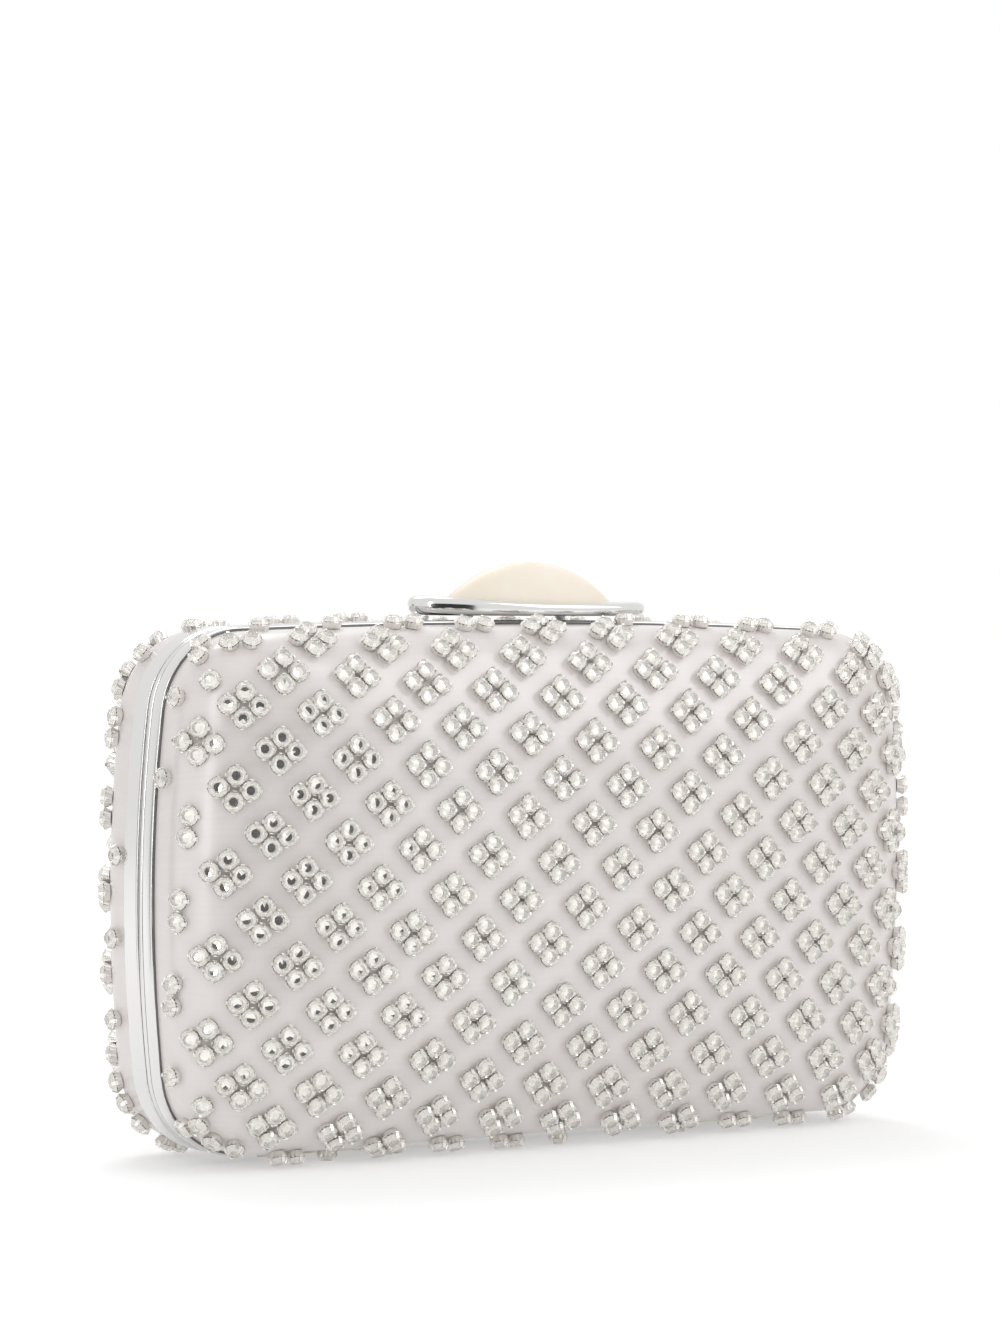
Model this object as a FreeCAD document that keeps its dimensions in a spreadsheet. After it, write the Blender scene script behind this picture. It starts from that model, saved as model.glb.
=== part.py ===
import FreeCAD, Part
import math
import os

from FreeCAD import Placement, Rotation, Vector

# A minaudiere: a hard evening case of two domed halves covered in satin and set with claw-cup crystals.
# The halves meet at the plane y = 0, the front half is on the -Y side, and the case stands on z = 0.
# A hinge under the base joins the halves, and a jewelled push button on the top frees the front half.

doc = FreeCAD.newDocument("Minaudiere")

SIZES = {
    # The outline where the two halves meet
    "half_width": 93,
    "body_height": 108,
    "side_radius": 320,
    "top_radius": 1900,
    "corner_radius": 18,
    # One half: a straight wall from the meeting plane, then a dome
    "wall_depth": 10.5,
    "dome_depth": 19.5,
    "dome_power": 2.4,
    # The three layers of a half
    "satin_thickness": 0.5,
    "shell_thickness": 1.6,
    "lining_thickness": 0.6,
    # The channel frame round each half
    "frame_proud": 0.9,
    "frame_width": 5.5,
    "frame_web": 1.2,
    "frame_lip": 0.8,
    "frame_round": 0.35,
    "split_gap": 0.3,
    # One crystal and its cup
    "crystal_radius": 1.9,
    "table_radius": 1.05,
    "culet_radius": 0.7,
    "crown_height": 1.0,
    "pavilion_depth": 1.0,
    "cup_radius": 2.0,
    "cup_height": 1.5,
    "cup_clearance": 0.15,
    # The pattern of crystals: clusters of four on a leaning diamond grid, fewer at small depths by the frame
    "cluster_half_width": 3.2,
    "cluster_half_height": 2.68,
    "pair_half_length": 2.25,
    "pair_depth": 16.5,
    "single_depth": 12,
    "grid_width": 16.47,
    "grid_height": 17.08,
    "grid_lean": -6.0,
    "grid_shift_x": -68.0,
    "grid_shift_z": 19.55,
    "grid_slip_x": -2.67,
    "grid_slip_z": -3.69,
    "grid_slip_line": 6,
    # The hinges under the base
    "hinge_spread": 52,
    "hinge_length": 26,
    "middle_knuckle": 9,
    "knuckle_gap": 0.3,
    "knuckle_radius": 0.85,
    "hinge_clearance": 0.3,
    "pin_radius": 0.4,
    "pin_clearance": 0.04,
    "leaf_thickness": 0.55,
    "leaf_reach": 5.0,
    "hinge_rivet_spread": 9,
    "hinge_rivet_reach": 3.3,
    "hinge_rivet_radius": 0.5,
    "hinge_rivet_head": 1.0,
    "hinge_rivet_head_height": 0.4,
    # The jewelled button
    "button_travel": 0.8,
    "button_stop_gap": 0.1,
    "clasp_shift": 1.5,
    "ring_half_length": 30,
    "ring_half_width": 10,
    "ring_height": 4.3,
    "ring_middle_height": 2.6,
    "ring_saddle_radius": 383,
    "ring_saddle_shift": 8,
    "ring_round": 1.1,
    "seat_half_length": 22.1,
    "seat_half_width": 7.3,
    "seat_thickness": 1.2,
    "cabochon_clearance": 0.3,
    "girdle_height": 1.0,
    "cabochon_height": 9.4,
    # The button's stems and their guides
    "stem_spread": 12,
    "stem_reach": 3.0,
    "stem_radius": 1.2,
    "stem_clearance": 0.05,
    "bushing_radius": 1.8,
    "bushing_inset": 0.2,
    "bushing_overhang": 0.4,
    "clip_radius": 2.3,
    "clip_thickness": 0.6,
    # The latch inside the top
    "bar_half_length": 15,
    "bar_width": 3.4,
    "bar_thickness": 1.5,
    "bar_drop": 2.0,
    "spring_half_width": 9,
    "spring_thickness": 0.4,
    "hook_reach": 3.2,
    "hook_height": 2.8,
    "block_half_length": 11,
    "block_width": 4.0,
    "block_gap": 0.45,
    "latch_rivet_spread": 7,
    "latch_rivet_radius": 0.7,
    "latch_rivet_head": 1.3,
    "latch_rivet_head_height": 0.6,
    # The catch on the front half
    "catch_half_length": 10,
    "catch_width": 5.0,
    "catch_thickness": 0.8,
    "catch_set_back": 0.35,
    "lip_gap": 0.1,
    "lip_thickness": 0.8,
    "lip_height": 2.2,
    "catch_rivet_spread": 7,
    "catch_rivet_reach": 4.4,
    "catch_rivet_radius": 0.6,
    "catch_rivet_head": 1.0,
    "catch_rivet_head_height": 0.5,
}

sheet = doc.addObject("Spreadsheet::Sheet", "Sizes")
for row, (alias, value) in enumerate(SIZES.items(), start=1):
    sheet.set(f"A{row}", alias)
    sheet.set(f"B{row}", str(value))
    sheet.setAlias(f"B{row}", alias)
doc.recompute()


def size(alias):
    """One driving size read back from the sheet."""
    return float(getattr(sheet, alias))


# Heights and depths that follow from the sizes
STAND = size("cup_height") + size("crown_height")
BASE_Z = STAND
TOP_Z = BASE_Z + size("body_height")
MIDDLE_Z = (BASE_Z + TOP_Z) / 2
HALF_GAP = size("split_gap") / 2
LAYER_START = HALF_GAP + size("frame_web")
FRAME_EDGE = HALF_GAP + size("frame_width")
LAYERS = size("satin_thickness") + size("shell_thickness") + size("lining_thickness")
FRAME_DEPTH = LAYERS + size("frame_lip")
FRAME_BOTTOM = BASE_Z - size("frame_proud")
FRAME_TOP = TOP_Z + size("frame_proud")
HINGE_Z = FRAME_BOTTOM - size("leaf_thickness")
RING_Z = FRAME_TOP + size("button_travel") + size("button_stop_gap")
FRONT = -1
BACK = 1
UP = Vector(0, 0, 1)
ALONG = Vector(1, 0, 0)
NODES = []


def node(obj, label):
    """Marks a document object as a finished piece and gives it its name."""
    obj.Label = label
    NODES.append(obj)
    return obj


def cylinder(name, radius, length, base, direction=UP):
    """A round bar from a base point along a direction, its sizes bound to the sheet."""
    obj = doc.addObject("Part::Cylinder", name)
    obj.setExpression("Radius", radius)
    obj.setExpression("Height", length)
    obj.Placement = Placement(base, Rotation(UP, direction))
    return obj


def box(name, length, width, height, corner):
    """A block from its lowest corner, its sizes bound to the sheet."""
    obj = doc.addObject("Part::Box", name)
    obj.setExpression("Length", length)
    obj.setExpression("Width", width)
    obj.setExpression("Height", height)
    obj.Placement = Placement(corner, Rotation())
    return obj


def fuse(name, pieces):
    """Several shapes joined into one."""
    obj = doc.addObject("Part::MultiFuse", name)
    obj.Shapes = pieces
    return obj


def cut(name, base, tools):
    """A shape with one or more others taken away from it."""
    obj = doc.addObject("Part::Cut", name)
    obj.Base = base
    obj.Tool = tools[0] if len(tools) == 1 else fuse(name + "_tools", tools)
    return obj


def group(label, shapes):
    """Identical separate pieces kept together under one name."""
    obj = doc.addObject("Part::Feature", label)
    obj.Shape = Part.makeCompound(shapes)
    return node(obj, label)


def copies(source, places):
    """The shape of one object, repeated at each place."""
    doc.recompute()
    moved = []
    for place in places:
        shape = source.Shape.copy()
        shape.Placement = place.multiply(shape.Placement)
        moved.append(shape)
    return moved


def shift(x=0.0, y=0.0, z=0.0):
    """A move without a turn."""
    return Placement(Vector(x, y, z), Rotation())


def sag(radius, distance):
    """How far an arc falls from its crest at a distance to the side of it."""
    return radius - math.sqrt(radius ** 2 - distance ** 2)


# The outline of the case


def circles_meet(first, first_radius, second, second_radius):
    """The crossing of two circles in the x, z plane that lies furthest up."""
    dx = second[0] - first[0]
    dz = second[1] - first[1]
    apart = math.hypot(dx, dz)
    along = (apart ** 2 + first_radius ** 2 - second_radius ** 2) / (2 * apart)
    across = math.sqrt(first_radius ** 2 - along ** 2)
    crossings = []
    for sign in (1, -1):
        x = first[0] + (along * dx - sign * across * dz) / apart
        z = first[1] + (along * dz + sign * across * dx) / apart
        crossings.append((x, z))
    return max(crossings, key=lambda point: point[1])


def toward(start, end, distance):
    """The point at a distance from start in the direction of end."""
    dx = end[0] - start[0]
    dz = end[1] - start[1]
    length = math.hypot(dx, dz)
    return (start[0] + dx / length * distance, start[1] + dz / length * distance)


def outline(offset, depth, share=1.0):
    """The closed outline at one depth: flat base, bowed sides and top, round corners.

    It is grown by offset, then shrunk to a share of its size about the middle of the case.
    """
    half = size("half_width") + offset
    low = BASE_Z - offset
    high = TOP_Z + offset
    side = size("side_radius") + offset
    top = size("top_radius") + offset
    corner = size("corner_radius") + offset
    side_centre = (half - side, MIDDLE_Z)
    top_centre = (0.0, high - top)
    low_z = low + corner
    low_centre = (side_centre[0] + math.sqrt((side - corner) ** 2 - (low_z - MIDDLE_Z) ** 2), low_z)
    high_centre = circles_meet(side_centre, side - corner, top_centre, top - corner)
    base_end = (low_centre[0], low)
    side_low = toward(side_centre, low_centre, side)
    side_high = toward(side_centre, high_centre, side)
    top_end = toward(top_centre, high_centre, top)
    low_chord = ((base_end[0] + side_low[0]) / 2, (base_end[1] + side_low[1]) / 2)
    high_chord = ((top_end[0] + side_high[0]) / 2, (top_end[1] + side_high[1]) / 2)
    low_middle = toward(low_centre, low_chord, corner)
    high_middle = toward(high_centre, high_chord, corner)

    def place(point, sign):
        return Vector(sign * point[0] * share, depth, MIDDLE_Z + (point[1] - MIDDLE_Z) * share)

    def arc(first, middle, last):
        return Part.Arc(first, middle, last).toShape()

    edges = [
        Part.LineSegment(place(base_end, -1), place(base_end, 1)).toShape(),
        arc(place(base_end, 1), place(low_middle, 1), place(side_low, 1)),
        arc(place(side_low, 1), place((half, MIDDLE_Z), 1), place(side_high, 1)),
        arc(place(side_high, 1), place(high_middle, 1), place(top_end, 1)),
        arc(place(top_end, 1), place((0.0, high), 1), place(top_end, -1)),
        arc(place(top_end, -1), place(high_middle, -1), place(side_high, -1)),
        arc(place(side_high, -1), place((half, MIDDLE_Z), -1), place(side_low, -1)),
        arc(place(side_low, -1), place(low_middle, -1), place(base_end, -1)),
    ]
    return Part.Wire(edges)


# The layered halves

DOME_ANGLES = (0, 4, 10, 20, 32, 45, 58, 70, 80, 86)
DOME_DEGREE = 3


def dome_profile(angle):
    """Share of the outline and share of the dome's depth at an angle from the wall to the crest."""
    power = 2 / size("dome_power")
    turn = math.radians(angle)
    return math.cos(turn) ** power, math.sin(turn) ** power


def pillow(inset, half, start):
    """One half's solid form from a starting depth, set in from the satin by inset.

    A straight wall carries a dome whose outlines shrink by the powers of cosine and sine.
    """
    flat = Part.Face(outline(-inset, half * start))
    wall = flat.extrude(Vector(0, half * (size("wall_depth") - start), 0))
    sections = []
    for angle in DOME_ANGLES:
        share, rise = dome_profile(angle)
        depth = size("wall_depth") + (size("dome_depth") - inset) * rise
        sections.append(outline(-inset, half * depth, share))
    dome = Part.makeLoft(sections, True, False, False, DOME_DEGREE)
    return wall.fuse(dome).removeSplitter()


def layer(name, half, outer_inset, inner_inset):
    """One layer of a half: the form at one inset less the form at a deeper one."""
    obj = doc.addObject("Part::Feature", name)
    obj.Shape = pillow(outer_inset, half, LAYER_START).cut(pillow(inner_inset, half, LAYER_START))
    return obj


def layers(name, half):
    """Satin, shell and lining of one half, from the outside in."""
    shell_inset = size("satin_thickness")
    lining_inset = shell_inset + size("shell_thickness")
    satin = layer(name + "_satin_form", half, 0.0, shell_inset)
    shell = layer(name + "_shell_form", half, shell_inset, lining_inset)
    lining = layer(name + "_lining_form", half, lining_inset, LAYERS)
    return satin, shell, lining


front_satin, front_shell, front_lining = layers("front", FRONT)
back_satin, back_shell, back_lining = layers("back", BACK)


# The channel frames


def slab(name, offset, half, start, length):
    """The outline at an offset, drawn out from a starting depth."""
    wire = doc.addObject("Part::Feature", name + "_outline")
    wire.Shape = outline(offset, half * start)
    obj = doc.addObject("Part::Extrusion", name)
    obj.Base = wire
    obj.DirMode = "Custom"
    obj.Dir = Vector(0, half, 0)
    obj.Solid = True
    obj.setExpression("LengthFwd", length)
    return obj


def rounded(name, base, radius, wanted):
    """A shape with the edges that a test picks rounded over."""
    doc.recompute()
    obj = doc.addObject("Part::Fillet", name)
    obj.Base = base
    picked = [index for index, edge in enumerate(base.Shape.Edges, start=1) if wanted(edge)]
    obj.Edges = [(index, radius, radius) for index in picked]
    return obj


def frame(name, half):
    """A channel round one half: a web at the meeting plane with an outer band and an inner lip."""
    band = slab(name + "_band", size("frame_proud"), half, HALF_GAP, "Sizes.frame_width")
    slot = slab(name + "_slot", 0.0, half, LAYER_START, "Sizes.frame_width")
    lip = slab(name + "_lip", -LAYERS, half, LAYER_START, "Sizes.frame_width")
    mouth = slab(name + "_mouth", -FRAME_DEPTH, half, HALF_GAP, "Sizes.frame_width")
    ring_slot = cut(name + "_ring_slot", slot, [lip])
    channel = cut(name + "_channel", band, [ring_slot, mouth])
    low = FRAME_BOTTOM
    high = FRAME_TOP
    side = size("half_width") + size("frame_proud")

    def on_band(edge):
        spot = edge.valueAt((edge.FirstParameter + edge.LastParameter) / 2)
        outer = Part.Vertex(spot).distToShape(outline(size("frame_proud"), spot.y))[0] < 1e-4
        across = max(vertex.Y for vertex in edge.Vertexes) - min(vertex.Y for vertex in edge.Vertexes)
        return outer and across < 1e-6 and low - 1 < spot.z < high + 1 and abs(spot.x) < side + 1

    return rounded(name + "_rounded", channel, size("frame_round"), on_band)


front_frame = frame("front_frame", FRONT)
back_frame = frame("back_frame", BACK)


# The hinges under the base


def hinge_leaf(name, half, knuckles, bore):
    """A flat leaf with its own knuckles, made once at the middle of the case."""
    clear = size("knuckle_radius") + size("hinge_clearance")
    reach = size("leaf_reach")
    plate_y = clear if half == BACK else -reach
    left = -size("hinge_length") / 2
    plate = box(
        name + "_plate",
        "Sizes.hinge_length",
        "Sizes.leaf_reach - Sizes.knuckle_radius - Sizes.hinge_clearance",
        "Sizes.leaf_thickness",
        Vector(left, plate_y, HINGE_Z),
    )
    solids = [plate]
    for number, (start, length) in enumerate(knuckles):
        tab_y = 0.0 if half == BACK else -clear
        tab = box(
            f"{name}_tab{number}",
            length,
            "Sizes.knuckle_radius + Sizes.hinge_clearance",
            "Sizes.leaf_thickness",
            Vector(start, tab_y, HINGE_Z),
        )
        knuckle = cylinder(
            f"{name}_knuckle{number}", "Sizes.knuckle_radius", length, Vector(start, 0, HINGE_Z), ALONG
        )
        solids += [tab, knuckle]
    bores = [cylinder(name + "_bore", bore, "Sizes.hinge_length", Vector(left, 0, HINGE_Z), ALONG)]
    for number, x in enumerate((-size("hinge_rivet_spread"), size("hinge_rivet_spread"))):
        spot = Vector(x, half * size("hinge_rivet_reach"), HINGE_Z)
        bores.append(
            cylinder(f"{name}_hole{number}", "Sizes.hinge_rivet_radius", "Sizes.leaf_thickness", spot)
        )
    return cut(name, fuse(name + "_solid", solids), bores)


HINGE_PLACES = [shift(-size("hinge_spread")), shift(size("hinge_spread"))]
OUTER_KNUCKLE = "(Sizes.hinge_length - Sizes.middle_knuckle) / 2 - Sizes.knuckle_gap"
MIDDLE_START = -size("middle_knuckle") / 2
OUTER_STARTS = (-size("hinge_length") / 2, size("middle_knuckle") / 2 + size("knuckle_gap"))

back_leaf = hinge_leaf(
    "back_leaf", BACK, [(MIDDLE_START, "Sizes.middle_knuckle")], "Sizes.pin_radius"
)
front_leaf = hinge_leaf(
    "front_leaf",
    FRONT,
    [(start, OUTER_KNUCKLE) for start in OUTER_STARTS],
    "Sizes.pin_radius + Sizes.pin_clearance",
)
group("back_hinge_leaves", copies(back_leaf, HINGE_PLACES))
group("front_hinge_leaves", copies(front_leaf, HINGE_PLACES))

hinge_pin = cylinder(
    "hinge_pin", "Sizes.pin_radius", "Sizes.hinge_length", Vector(-size("hinge_length") / 2, 0, HINGE_Z), ALONG
)
group("hinge_pins", copies(hinge_pin, HINGE_PLACES))


def rivet(name, radius, length, head, head_height):
    """A rivet standing on z = 0 with its head below that plane."""
    shank = cylinder(name + "_shank", radius, length, Vector(0, 0, 0))
    cap = cylinder(name + "_cap", head, head_height, Vector(0, 0, -size(head_height.split(".")[1])))
    return fuse(name, [shank, cap])


hinge_rivet = rivet(
    "hinge_rivet",
    "Sizes.hinge_rivet_radius",
    "Sizes.leaf_thickness + Sizes.frame_proud",
    "Sizes.hinge_rivet_head",
    "Sizes.hinge_rivet_head_height",
)


def hinge_rivet_places(half):
    """Two rivets through each leaf of one half."""
    places = []
    for hinge_x in (-size("hinge_spread"), size("hinge_spread")):
        for side in (-1, 1):
            x = hinge_x + side * size("hinge_rivet_spread")
            places.append(shift(x, half * size("hinge_rivet_reach"), HINGE_Z))
    return places


group("back_hinge_rivets", copies(hinge_rivet, hinge_rivet_places(BACK)))
group("front_hinge_rivets", copies(hinge_rivet, hinge_rivet_places(FRONT)))


def hinge_openings(name, half):
    """Room in a frame for the knuckles, and the holes for the hinge rivets."""
    tools = []
    for number, place in enumerate(HINGE_PLACES):
        start = place.Base + Vector(-size("hinge_length") / 2 - size("hinge_clearance"), 0, HINGE_Z)
        tools.append(
            cylinder(
                f"{name}_groove{number}",
                "Sizes.knuckle_radius + Sizes.hinge_clearance",
                "Sizes.hinge_length + 2 * Sizes.hinge_clearance",
                start,
                ALONG,
            )
        )
    for number, place in enumerate(hinge_rivet_places(half)):
        tools.append(
            cylinder(
                f"{name}_rivet_hole{number}",
                "Sizes.hinge_rivet_radius",
                "Sizes.leaf_thickness + Sizes.frame_proud",
                place.Base,
            )
        )
    return tools


# The jewelled button: a ring and its seat, a cabochon, two stems with clips and the bar they press


def oval(name, half_length, half_width, height, z):
    """An upright oval block."""
    rim = doc.addObject("Part::Ellipse", name + "_rim")
    rim.setExpression("MajorRadius", half_length)
    rim.setExpression("MinorRadius", half_width)
    rim.Placement = shift(size("clasp_shift"), z=z)
    obj = doc.addObject("Part::Extrusion", name)
    obj.Base = rim
    obj.DirMode = "Custom"
    obj.Dir = UP
    obj.Solid = True
    obj.setExpression("LengthFwd", height)
    return obj


def rim_oval(name, set_in, z):
    """An oval line round the ring at a height, set in from its widest line."""
    rim = doc.addObject("Part::Ellipse", name)
    rim.setExpression("MajorRadius", "Sizes.ring_half_length" + set_in)
    rim.setExpression("MinorRadius", "Sizes.ring_half_width" + set_in)
    rim.Placement = shift(size("clasp_shift"), z=z)
    return rim


RING_TOP = RING_Z + size("ring_height")
ring_block = doc.addObject("Part::Loft", "ring_block")
ring_block.Sections = [
    rim_oval("ring_foot", " - Sizes.ring_round", RING_Z),
    rim_oval("ring_low_side", "", RING_Z + size("ring_round")),
    rim_oval("ring_high_side", "", RING_TOP - size("ring_round")),
    rim_oval("ring_crest", " - Sizes.ring_round", RING_TOP),
]
ring_block.Solid = True
ring_bore = oval("ring_bore", "Sizes.seat_half_length", "Sizes.seat_half_width", "Sizes.ring_height", RING_Z)
SADDLE_X = size("clasp_shift") + size("ring_saddle_shift")
SADDLE_Z = RING_Z + size("ring_middle_height") + size("ring_saddle_radius")
ring_saddle = cylinder(
    "ring_saddle",
    "Sizes.ring_saddle_radius",
    "3 * Sizes.ring_half_width",
    Vector(SADDLE_X, 1.5 * size("ring_half_width"), SADDLE_Z),
    Vector(0, -1, 0),
)
node(cut("clasp_ring_body", ring_block, [ring_saddle, ring_bore]), "clasp_ring")

clasp_seat = oval(
    "clasp_seat", "Sizes.seat_half_length", "Sizes.seat_half_width", "Sizes.seat_thickness", RING_Z
)
node(clasp_seat, "clasp_seat")

SEAT_TOP = RING_Z + size("seat_thickness")
GIRDLE_TOP = SEAT_TOP + size("girdle_height")
STONE_LENGTH = "(Sizes.seat_half_length - Sizes.cabochon_clearance)"
STONE_WIDTH = "(Sizes.seat_half_width - Sizes.cabochon_clearance)"
DOME_RADIUS = f"(({STONE_LENGTH})^2 + Sizes.cabochon_height^2) / (2 * Sizes.cabochon_height)"
stone_length = size("seat_half_length") - size("cabochon_clearance")
dome_radius = (stone_length ** 2 + size("cabochon_height") ** 2) / (2 * size("cabochon_height"))

girdle = oval("girdle", STONE_LENGTH, STONE_WIDTH, "Sizes.girdle_height", SEAT_TOP)
dome_ball = doc.addObject("Part::Ellipsoid", "dome_ball")
dome_ball.setExpression("Radius1", DOME_RADIUS)
dome_ball.setExpression("Radius2", DOME_RADIUS)
dome_ball.setExpression("Radius3", f"{STONE_WIDTH} * ({DOME_RADIUS}) / {STONE_LENGTH}")
dome_ball.Placement = shift(size("clasp_shift"), z=GIRDLE_TOP + size("cabochon_height") - dome_radius)
dome_room = oval("dome_room", STONE_LENGTH, STONE_WIDTH, "2 * Sizes.cabochon_height", GIRDLE_TOP)
dome = doc.addObject("Part::Common", "dome")
dome.Base = dome_ball
dome.Tool = dome_room
node(fuse("cabochon_solid", [girdle, dome]), "cabochon")

CEILING_Z = TOP_Z - FRAME_DEPTH
STEM_SPOTS = [Vector(sign * size("stem_spread"), size("stem_reach"), 0) for sign in (-1, 1)]
BUSHING_TOP = FRAME_TOP - size("bushing_inset")
BUSHING_LOW = CEILING_Z - size("bushing_overhang")
CLIP_LOW = BUSHING_LOW - size("clip_thickness")
BAR_TOP = CLIP_LOW - size("bar_drop")
BAR_LOW = BAR_TOP - size("bar_thickness")
BUSHING_LENGTH = (
    "Sizes.frame_proud - Sizes.bushing_inset + Sizes.satin_thickness + Sizes.shell_thickness"
    " + Sizes.lining_thickness + Sizes.frame_lip + Sizes.bushing_overhang"
)
STEM_LENGTH = (
    f"Sizes.button_travel + Sizes.button_stop_gap + Sizes.bushing_inset + ({BUSHING_LENGTH})"
    " + Sizes.clip_thickness + Sizes.bar_drop + Sizes.bar_thickness"
)

stem = cylinder("stem", "Sizes.stem_radius", STEM_LENGTH, Vector(0, 0, BAR_LOW))
group("button_stems", copies(stem, [shift(spot.x, spot.y) for spot in STEM_SPOTS]))

bushing_body = cylinder("bushing_body", "Sizes.bushing_radius", BUSHING_LENGTH, Vector(0, 0, BUSHING_LOW))
bushing_bore = cylinder(
    "bushing_bore", "Sizes.stem_radius + Sizes.stem_clearance", BUSHING_LENGTH, Vector(0, 0, BUSHING_LOW)
)
bushing = cut("bushing", bushing_body, [bushing_bore])
group("stem_bushings", copies(bushing, [shift(spot.x, spot.y) for spot in STEM_SPOTS]))

clip_body = cylinder("clip_body", "Sizes.clip_radius", "Sizes.clip_thickness", Vector(0, 0, CLIP_LOW))
clip_bore = cylinder("clip_bore", "Sizes.stem_radius", "Sizes.clip_thickness", Vector(0, 0, CLIP_LOW))
clip = cut("clip", clip_body, [clip_bore])
group("stem_clips", copies(clip, [shift(spot.x, spot.y) for spot in STEM_SPOTS]))

bar_block = box(
    "bar_block",
    "2 * Sizes.bar_half_length",
    "Sizes.bar_width",
    "Sizes.bar_thickness",
    Vector(-size("bar_half_length"), size("stem_reach") - size("bar_width") / 2, BAR_LOW),
)
bar_holes = [
    cylinder(f"bar_hole{number}", "Sizes.stem_radius", "Sizes.bar_thickness", spot + Vector(0, 0, BAR_LOW))
    for number, spot in enumerate(STEM_SPOTS)
]
node(cut("latch_bar_body", bar_block, bar_holes), "latch_bar")


# The latch: a leaf spring with a hook on a block under the back half's top, and the front half's catch

BLOCK_FRONT = FRAME_EDGE + size("block_gap")
BLOCK_BACK = BLOCK_FRONT + size("block_width")
LINING_RADIUS = size("top_radius") - LAYERS
BLOCK_TOP = TOP_Z - LAYERS - sag(LINING_RADIUS, size("block_half_length"))
SPRING_TOP = BAR_LOW
SPRING_LOW = SPRING_TOP - size("spring_thickness")
HOOK_TOP = SPRING_TOP + size("hook_height")
LATCH_RIVET_Y = (BLOCK_FRONT + BLOCK_BACK) / 2
LATCH_RIVET_SPOTS = [Vector(sign * size("latch_rivet_spread"), LATCH_RIVET_Y, SPRING_LOW) for sign in (-1, 1)]
LATCH_RIVET_TOP = TOP_Z - size("satin_thickness") - sag(size("top_radius"), size("block_half_length"))
LATCH_RIVET_LENGTH = LATCH_RIVET_TOP - SPRING_LOW


def origin_plane(body, role):
    """One of a body's own origin planes."""
    return [item for item in body.Origin.OriginFeatures if item.Role == role][0]


spring_body = doc.addObject("PartDesign::Body", "latch_spring_body")
spring_sketch = spring_body.newObject("Sketcher::SketchObject", "latch_spring_profile")
spring_sketch.AttachmentSupport = [(origin_plane(spring_body, "YZ_Plane"), "")]
spring_sketch.MapMode = "FlatFace"
hook_front = -size("hook_reach")
hook_back = hook_front + size("spring_thickness")
spring_corners = [
    (hook_front, SPRING_LOW),
    (BLOCK_BACK, SPRING_LOW),
    (BLOCK_BACK, SPRING_TOP),
    (hook_back, SPRING_TOP),
    (hook_back, HOOK_TOP),
    (hook_front, HOOK_TOP),
]
for first, last in zip(spring_corners, spring_corners[1:] + spring_corners[:1]):
    spring_sketch.addGeometry(Part.LineSegment(Vector(first[0], first[1], 0), Vector(last[0], last[1], 0)))
spring_pad = spring_body.newObject("PartDesign::Pad", "latch_spring_pad")
spring_pad.Profile = spring_sketch
spring_pad.Midplane = True
spring_pad.setExpression("Length", "2 * Sizes.spring_half_width")
spring_holes = [
    cylinder(f"spring_hole{number}", "Sizes.latch_rivet_radius", "Sizes.spring_thickness", spot)
    for number, spot in enumerate(LATCH_RIVET_SPOTS)
]
node(cut("latch_spring_drilled", spring_body, spring_holes), "latch_spring")

block_plain = doc.addObject("Part::Box", "block_plain")
block_plain.setExpression("Length", "2 * Sizes.block_half_length")
block_plain.setExpression("Width", "Sizes.block_width")
block_plain.Height = BLOCK_TOP - SPRING_TOP
block_plain.Placement = shift(-size("block_half_length"), BLOCK_FRONT, SPRING_TOP)


def latch_rivet_holes(name):
    """Round holes for the two latch rivets, from under the spring up to the satin."""
    holes = []
    for number, spot in enumerate(LATCH_RIVET_SPOTS):
        hole = doc.addObject("Part::Cylinder", f"{name}{number}")
        hole.setExpression("Radius", "Sizes.latch_rivet_radius")
        hole.Height = LATCH_RIVET_LENGTH
        hole.Placement = Placement(spot, Rotation())
        holes.append(hole)
    return holes


node(cut("latch_block_drilled", block_plain, latch_rivet_holes("block_hole")), "latch_block")

latch_rivet_shanks = latch_rivet_holes("latch_rivet_shank")
doc.recompute()
latch_rivets = []
for shank in latch_rivet_shanks:
    cap = Part.makeCylinder(
        size("latch_rivet_head"),
        size("latch_rivet_head_height"),
        shank.Placement.Base - Vector(0, 0, size("latch_rivet_head_height")),
    )
    latch_rivets.append(shank.Shape.fuse(cap).removeSplitter())
group("latch_rivets", latch_rivets)

CATCH_TOP = CEILING_Z - sag(size("top_radius") - FRAME_DEPTH, size("catch_half_length"))
CATCH_LOW = CATCH_TOP - size("catch_thickness")
LIP_FRONT = hook_back + size("lip_gap")
catch_flat = box(
    "catch_flat",
    "2 * Sizes.catch_half_length",
    "Sizes.catch_width",
    "Sizes.catch_thickness",
    Vector(-size("catch_half_length"), -HALF_GAP - size("catch_set_back") - size("catch_width"), CATCH_LOW),
)
catch_lip = box(
    "catch_lip",
    "2 * Sizes.spring_half_width",
    "Sizes.lip_thickness",
    "Sizes.lip_height",
    Vector(-size("spring_half_width"), LIP_FRONT, CATCH_LOW - size("lip_height")),
)
CATCH_RIVET_SPOTS = [
    Vector(sign * size("catch_rivet_spread"), -size("catch_rivet_reach"), CATCH_LOW) for sign in (-1, 1)
]
CATCH_RIVET_LENGTH = "Sizes.catch_thickness + Sizes.frame_lip"


def catch_rivet_holes(name):
    """Round holes for the two catch rivets, through the catch and the frame's lip."""
    return [
        cylinder(f"{name}{number}", "Sizes.catch_rivet_radius", CATCH_RIVET_LENGTH, spot)
        for number, spot in enumerate(CATCH_RIVET_SPOTS)
    ]


catch_solid = fuse("catch_solid", [catch_flat, catch_lip])
node(cut("catch_drilled", catch_solid, catch_rivet_holes("catch_hole")), "catch_plate")

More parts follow.
